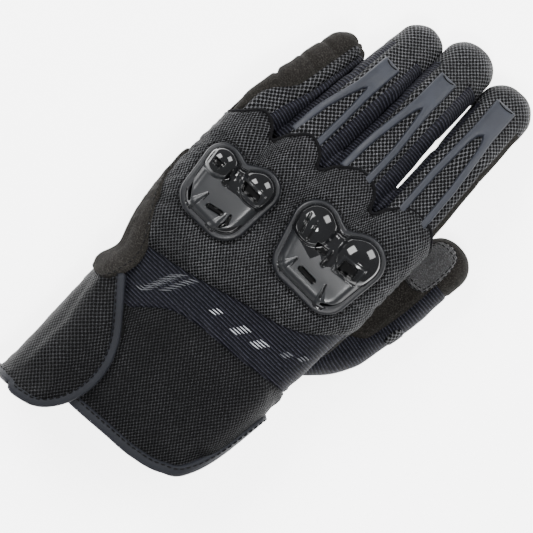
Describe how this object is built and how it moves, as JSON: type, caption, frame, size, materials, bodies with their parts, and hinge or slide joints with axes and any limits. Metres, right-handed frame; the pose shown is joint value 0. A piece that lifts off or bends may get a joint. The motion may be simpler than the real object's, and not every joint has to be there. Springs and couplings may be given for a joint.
{
  "type": "riding glove",
  "caption": "Left-hand mesh riding glove with hard knuckle domes, finger sliders, a ribbed wrist and a hook-and-loop cuff flap.",
  "frame": {"origin": "bottom centre of the glove's box, on the surface it lies on, palm down", "axes": "+Y along the middle finger, +Z out of the back of the hand, +X towards the thumb"},
  "size_m": [0.1321, 0.2609, 0.057],
  "materials": {
    "mesh_fabric": "coarse charcoal mesh",
    "suede": "fine matte synthetic suede",
    "rib_knit": "ribbed stretch knit",
    "smoked_shell": "glossy smoked",
    "guard_flange": "matte",
    "foam": "matte foam",
    "slider": "matte slate grey",
    "grained_leather": "grained, satin",
    "binding": "woven tape",
    "hook_loop": "napped"
  },
  "bodies": {
    "hand": {"hand_back_panel": "mesh_fabric", "hand_palm_panel": "suede", "ulnar_side_panel": "suede", "radial_side_panel": "suede", "thumb_gusset": "rib_knit", "palm_heel_patch": "grained_leather", "index_middle_guard_flange": "guard_flange", "index_middle_guard_shell": "smoked_shell", "index_middle_guard_foam": "foam", "ring_pinky_guard_flange": "guard_flange", "ring_pinky_guard_shell": "smoked_shell", "ring_pinky_guard_foam": "foam"},
    "cuff": {"wrist_rib_band": "rib_knit", "cuff_back_panel": "mesh_fabric", "cuff_palm_panel": "mesh_fabric", "cuff_edge_binding": "binding", "cuff_loop_patch": "hook_loop"},
    "cuff_flap": {"flap_panel": "mesh_fabric", "flap_binding": "binding", "flap_hook_patch": "hook_loop"},
    "index_base": {"index_back_base": "mesh_fabric", "index_palm_base": "suede", "index_sides_base": "rib_knit", "index_slider_legs": "slider"},
    "index_tip": {"index_back_tip": "mesh_fabric", "index_palm_tip": "suede", "index_sides_tip": "rib_knit", "index_slider_blade": "slider"},
    "middle_base": {"middle_back_base": "mesh_fabric", "middle_palm_base": "suede", "middle_sides_base": "rib_knit", "middle_slider_legs": "slider"},
    "middle_tip": {"middle_back_tip": "mesh_fabric", "middle_palm_tip": "suede", "middle_sides_tip": "rib_knit", "middle_slider_blade": "slider"},
    "ring_base": {"ring_back_base": "mesh_fabric", "ring_palm_base": "suede", "ring_sides_base": "rib_knit", "ring_slider_legs": "slider"},
    "ring_tip": {"ring_back_tip": "mesh_fabric", "ring_palm_tip": "suede", "ring_sides_tip": "rib_knit", "ring_slider_blade": "slider"},
    "pinky_base": {"pinky_back_base": "mesh_fabric", "pinky_palm_base": "suede", "pinky_sides_base": "rib_knit"},
    "pinky_tip": {"pinky_back_tip": "mesh_fabric", "pinky_palm_tip": "suede", "pinky_sides_tip": "rib_knit"},
    "thumb_base": {"thumb_back_base": "suede", "thumb_palm_base": "suede", "thumb_sides_base": "rib_knit"},
    "thumb_tip": {"thumb_back_tip": "suede", "thumb_palm_tip": "suede", "thumb_sides_tip": "rib_knit", "thumb_leather_patch": "grained_leather"}
  },
  "joints": [
    {"name": "index_base_bend", "type": "hinge", "parent": "hand", "child": "index_base", "pos_m": [0.0275, 0.046, 0.034], "axis": [-0.9993, -0.0384, 0], "range_deg": [-10, 70]},
    {"name": "index_tip_bend", "type": "hinge", "parent": "index_base", "child": "index_tip", "pos_m": [0.02611, 0.08227, 0.03019], "axis": [-0.9993, -0.0384, 0], "range_deg": [-5, 75]},
    {"name": "middle_base_bend", "type": "hinge", "parent": "hand", "child": "middle_base", "pos_m": [-0.0015, 0.047, 0.034], "axis": [-1, 0, 0], "range_deg": [-10, 70]},
    {"name": "middle_tip_bend", "type": "hinge", "parent": "middle_base", "child": "middle_tip", "pos_m": [-0.0015, 0.0833, 0.03019], "axis": [-1, 0, 0], "range_deg": [-5, 75]},
    {"name": "ring_base_bend", "type": "hinge", "parent": "hand", "child": "ring_base", "pos_m": [-0.0295, 0.043, 0.0335], "axis": [-0.9965, 0.0837, 0], "range_deg": [-10, 70]},
    {"name": "ring_tip_bend", "type": "hinge", "parent": "ring_base", "child": "ring_tip", "pos_m": [-0.02667, 0.07669, 0.02995], "axis": [-0.9965, 0.0837, 0], "range_deg": [-5, 75]},
    {"name": "pinky_base_bend", "type": "hinge", "parent": "hand", "child": "pinky_base", "pos_m": [-0.0545, 0.0345, 0.033], "axis": [-0.9877, 0.1564, 0], "range_deg": [-10, 70]},
    {"name": "pinky_tip_bend", "type": "hinge", "parent": "pinky_base", "child": "pinky_tip", "pos_m": [-0.05042, 0.06028, 0.0284], "axis": [-0.9877, 0.1564, 0], "range_deg": [-5, 75]},
    {"name": "thumb_base_spread", "type": "hinge", "parent": "hand", "child": "thumb_base", "pos_m": [0.045, -0.013, 0.0103], "axis": [0, 0, -1], "range_deg": [0, 26]},
    {"name": "thumb_tip_bend", "type": "hinge", "parent": "thumb_base", "child": "thumb_tip", "pos_m": [0.05147, 0.01997, 0.0103], "axis": [0, 0, -1], "range_deg": [-40, 10]},
    {"name": "wrist_bend", "type": "hinge", "parent": "hand", "child": "cuff", "pos_m": [-0.0075, -0.042, 0.022], "axis": [1, 0, 0], "range_deg": [-25, 25]},
    {"name": "cuff_flap_open", "type": "hinge", "parent": "cuff", "child": "cuff_flap", "pos_m": [-0.0592, -0.094, 0.014], "axis": [0, -1, 0], "range_deg": [0, 110]}
  ]
}
